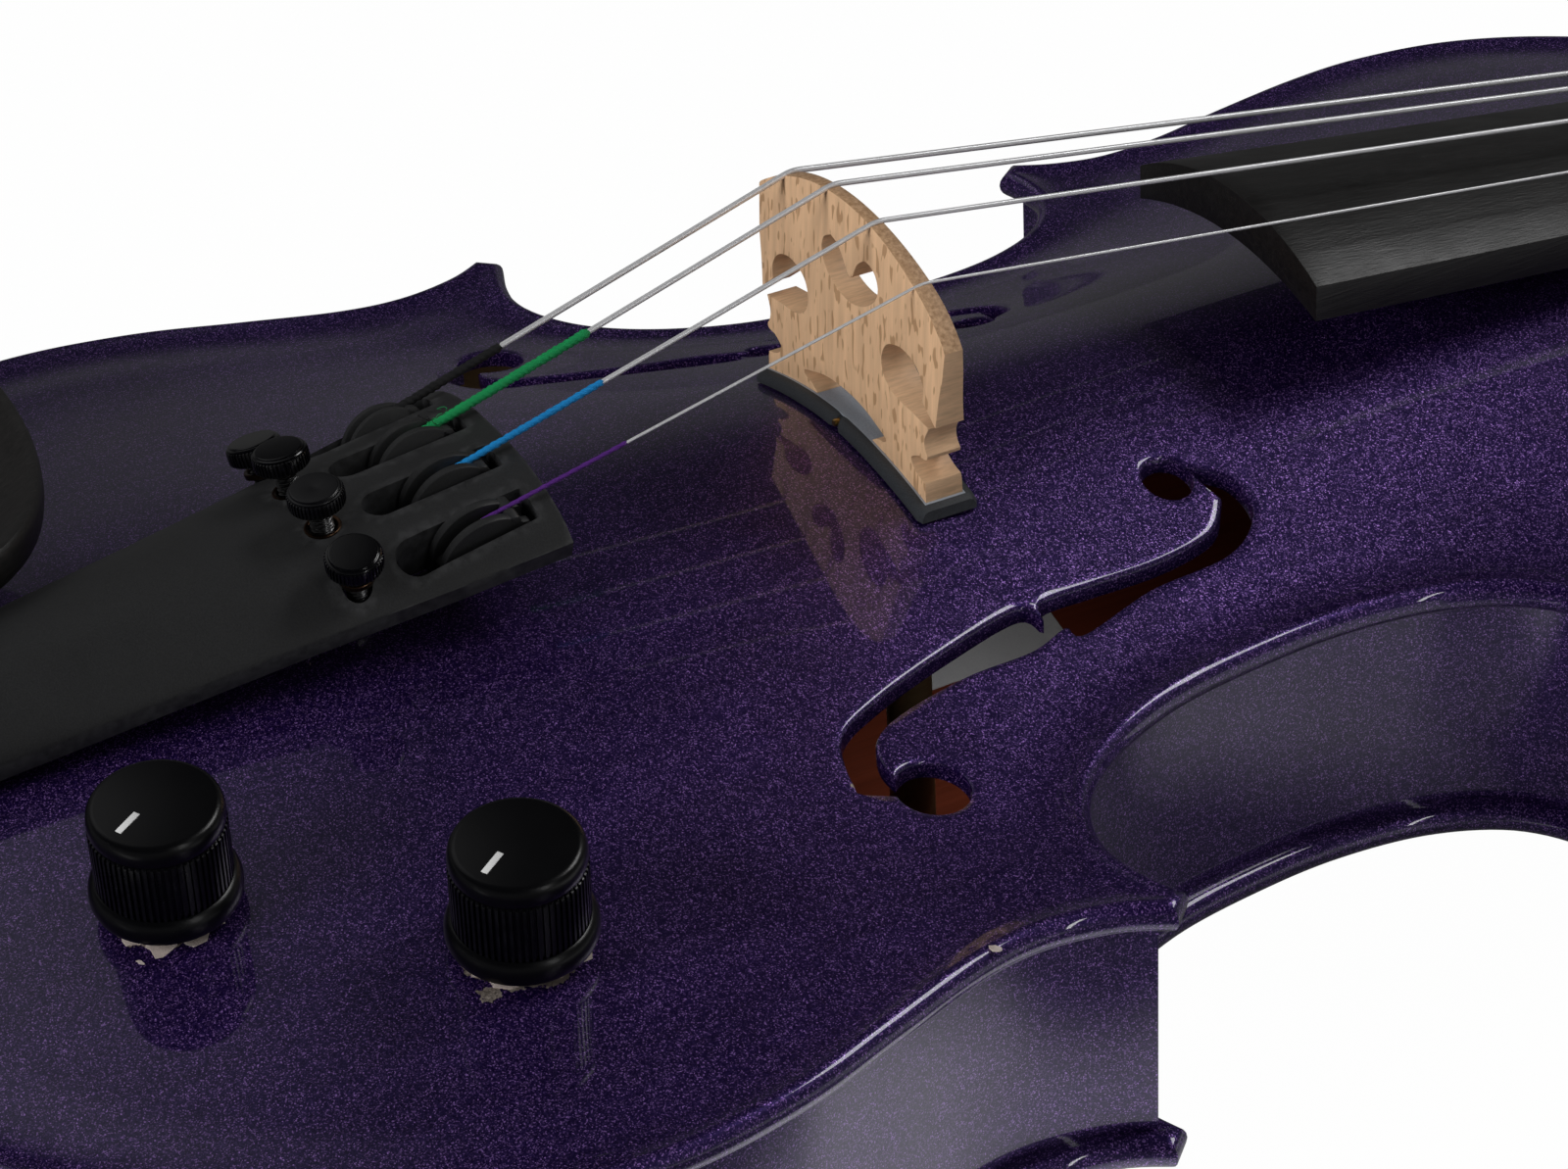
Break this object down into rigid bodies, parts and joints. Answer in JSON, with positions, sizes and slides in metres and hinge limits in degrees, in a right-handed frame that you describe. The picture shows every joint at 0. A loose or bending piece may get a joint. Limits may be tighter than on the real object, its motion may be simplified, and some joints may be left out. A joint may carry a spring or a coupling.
{
  "type": "electric violin",
  "caption": "Full-size electric violin with an arched lacquered body, sound holes, pickup strip under a carved bridge, tailpiece with fine tuners, chin rest and control knobs.",
  "frame": {"origin": "on the flat crown of the back's arch, under the middle of the body, where the violin lies on its back", "axes": "+Y from the end button to the scroll, +X to the treble side, +Z out of the belly"},
  "size_m": [0.209, 0.5995, 0.0966],
  "materials": {
    "lacquer": "deep purple metal-flake lacquer",
    "ebony": "black satin",
    "black_plastic": "fine-grained black",
    "black_gloss": "black, bevelled",
    "black_metal": "gloss black",
    "maple": "bare, flecked",
    "spruce": "bare",
    "steel": "bright",
    "rubber": "dark grey",
    "string_steel": "polished, silk wrapped at the tail end"
  },
  "bodies": {
    "violin": {"pot_volume": "steel", "pot_tone": "steel", "top_plate": "lacquer", "back_plate": "lacquer", "output_jack": "black_plastic", "jack_nut": "steel", "lower_rib": "lacquer", "waist_rib_treble": "lacquer", "waist_rib_bass": "lacquer", "upper_rib_treble": "lacquer", "upper_rib_bass": "lacquer", "corner_block_lower_treble": "spruce", "corner_block_lower_bass": "spruce", "corner_block_upper_treble": "spruce", "corner_block_upper_bass": "spruce", "end_block": "spruce", "top_block": "spruce", "bass_bar": "spruce", "sound_post": "spruce", "pickup_strip": "rubber", "bridge": "maple", "fingerboard": "ebony", "nut": "ebony", "neck": "lacquer", "tailpiece": "black_plastic", "string_g": "string_steel", "string_d": "string_steel", "string_a": "string_steel", "string_e": "string_steel", "saddle": "ebony", "end_button": "ebony", "tail_gut": "black_plastic", "chin_rest_bracket": "steel", "chin_rest_foot": "steel", "chin_rest_barrel_inner": "steel", "chin_rest_barrel_outer": "steel", "chin_rest_cup": "ebony", "pickup_lead": "black_plastic", "output_lead": "black_plastic"},
    "peg_g": {"peg_g": "ebony"},
    "peg_e": {"peg_e": "ebony"},
    "peg_d": {"peg_d": "ebony"},
    "peg_a": {"peg_a": "ebony"},
    "tuner_shank_g": {"tuner_shank_g": "steel"},
    "tuner_screw_g": {"tuner_screw_g": "black_metal"},
    "tuner_lever_g": {"tuner_lever_g": "black_plastic"},
    "tuner_shank_d": {"tuner_shank_d": "steel"},
    "tuner_screw_d": {"tuner_screw_d": "black_metal"},
    "tuner_lever_d": {"tuner_lever_d": "black_plastic"},
    "tuner_shank_a": {"tuner_shank_a": "steel"},
    "tuner_screw_a": {"tuner_screw_a": "black_metal"},
    "tuner_lever_a": {"tuner_lever_a": "black_plastic"},
    "tuner_shank_e": {"tuner_shank_e": "steel"},
    "tuner_screw_e": {"tuner_screw_e": "black_metal"},
    "tuner_lever_e": {"tuner_lever_e": "black_plastic"},
    "control_volume": {"knob_volume": "black_gloss", "pot_shaft_volume": "steel"},
    "control_tone": {"knob_tone": "black_gloss", "pot_shaft_tone": "steel"}
  },
  "joints": [
    {"name": "peg_g_turn", "type": "hinge", "parent": "violin", "child": "peg_g", "pos_m": [-0.03, 0.3168, 0.03189], "axis": [-1, 0, 0], "continuous": true},
    {"name": "peg_e_turn", "type": "hinge", "parent": "violin", "child": "peg_e", "pos_m": [0.03, 0.3318, 0.03019], "axis": [1, 0, 0], "continuous": true},
    {"name": "peg_d_turn", "type": "hinge", "parent": "violin", "child": "peg_d", "pos_m": [-0.03, 0.3458, 0.02861], "axis": [-1, 0, 0], "continuous": true},
    {"name": "peg_a_turn", "type": "hinge", "parent": "violin", "child": "peg_a", "pos_m": [0.03, 0.3588, 0.02713], "axis": [1, 0, 0], "continuous": true},
    {"name": "tuner_g_rise", "type": "slide", "parent": "violin", "child": "tuner_shank_g", "axis": [0.2639, 0.1149, -0.9577], "range_m": [-0.0025, 0.00081]},
    {"name": "tuner_g_turn", "type": "hinge", "parent": "tuner_shank_g", "child": "tuner_screw_g", "pos_m": [-0.01478, -0.10547, 0.07206], "axis": [0.2639, 0.1149, -0.9577], "range_deg": [-1801.8, 580.58]},
    {"name": "tuner_g_lever", "type": "hinge", "parent": "violin", "child": "tuner_lever_g", "pos_m": [-0.01341, -0.08591, 0.06935], "axis": [0.9646, -0.0314, 0.262], "range_deg": [-7.51, 2.42]},
    {"name": "tuner_d_rise", "type": "slide", "parent": "violin", "child": "tuner_shank_d", "axis": [0.0906, 0.1187, -0.9888], "range_m": [-0.0005, 0.00269]},
    {"name": "tuner_d_turn", "type": "hinge", "parent": "tuner_shank_d", "child": "tuner_screw_d", "pos_m": [-0.00526, -0.10571, 0.07579], "axis": [0.0906, 0.1187, -0.9888], "range_deg": [-360.36, 1941.94]},
    {"name": "tuner_d_lever", "type": "hinge", "parent": "violin", "child": "tuner_lever_d", "pos_m": [-0.0046, -0.08589, 0.07095], "axis": [0.9959, -0.0108, 0.09], "range_deg": [-1.5, 8.09]},
    {"name": "tuner_a_rise", "type": "slide", "parent": "violin", "child": "tuner_shank_a", "axis": [-0.0906, 0.1187, -0.9888], "range_m": [-0.0005, 0.00269]},
    {"name": "tuner_a_turn", "type": "hinge", "parent": "tuner_shank_a", "child": "tuner_screw_a", "pos_m": [0.00526, -0.10571, 0.07579], "axis": [-0.0906, 0.1187, -0.9888], "range_deg": [-360.36, 1941.94]},
    {"name": "tuner_a_lever", "type": "hinge", "parent": "violin", "child": "tuner_lever_a", "pos_m": [0.0046, -0.08589, 0.07095], "axis": [0.9959, 0.0108, -0.09], "range_deg": [-1.5, 8.09]},
    {"name": "tuner_e_rise", "type": "slide", "parent": "violin", "child": "tuner_shank_e", "axis": [-0.2639, 0.1149, -0.9577], "range_m": [-0.0025, 0.00081]},
    {"name": "tuner_e_turn", "type": "hinge", "parent": "tuner_shank_e", "child": "tuner_screw_e", "pos_m": [0.01478, -0.10547, 0.07206], "axis": [-0.2639, 0.1149, -0.9577], "range_deg": [-1801.8, 580.58]},
    {"name": "tuner_e_lever", "type": "hinge", "parent": "violin", "child": "tuner_lever_e", "pos_m": [0.01341, -0.08591, 0.06935], "axis": [0.9646, 0.0314, -0.262], "range_deg": [-7.51, 2.42]},
    {"name": "knob_volume_turn", "type": "hinge", "parent": "violin", "child": "control_volume", "pos_m": [0.0405, -0.1415, 0.05385], "axis": [0.1668, -0.0482, 0.9848], "range_deg": [-150, 150]},
    {"name": "knob_tone_turn", "type": "hinge", "parent": "violin", "child": "control_tone", "pos_m": [0.066, -0.1094, 0.0519], "axis": [0.1668, -0.0482, 0.9848], "range_deg": [-150, 150]}
  ],
  "couplings": [
    {"joint": "tuner_g_turn", "follows": "tuner_g_rise", "rad_per_m": 12566},
    {"joint": "tuner_g_lever", "follows": "tuner_g_rise", "rad_per_m": 52.356},
    {"joint": "tuner_d_turn", "follows": "tuner_d_rise", "rad_per_m": 12566},
    {"joint": "tuner_d_lever", "follows": "tuner_d_rise", "rad_per_m": 52.356},
    {"joint": "tuner_a_turn", "follows": "tuner_a_rise", "rad_per_m": 12566},
    {"joint": "tuner_a_lever", "follows": "tuner_a_rise", "rad_per_m": 52.356},
    {"joint": "tuner_e_turn", "follows": "tuner_e_rise", "rad_per_m": 12566},
    {"joint": "tuner_e_lever", "follows": "tuner_e_rise", "rad_per_m": 52.356}
  ]
}
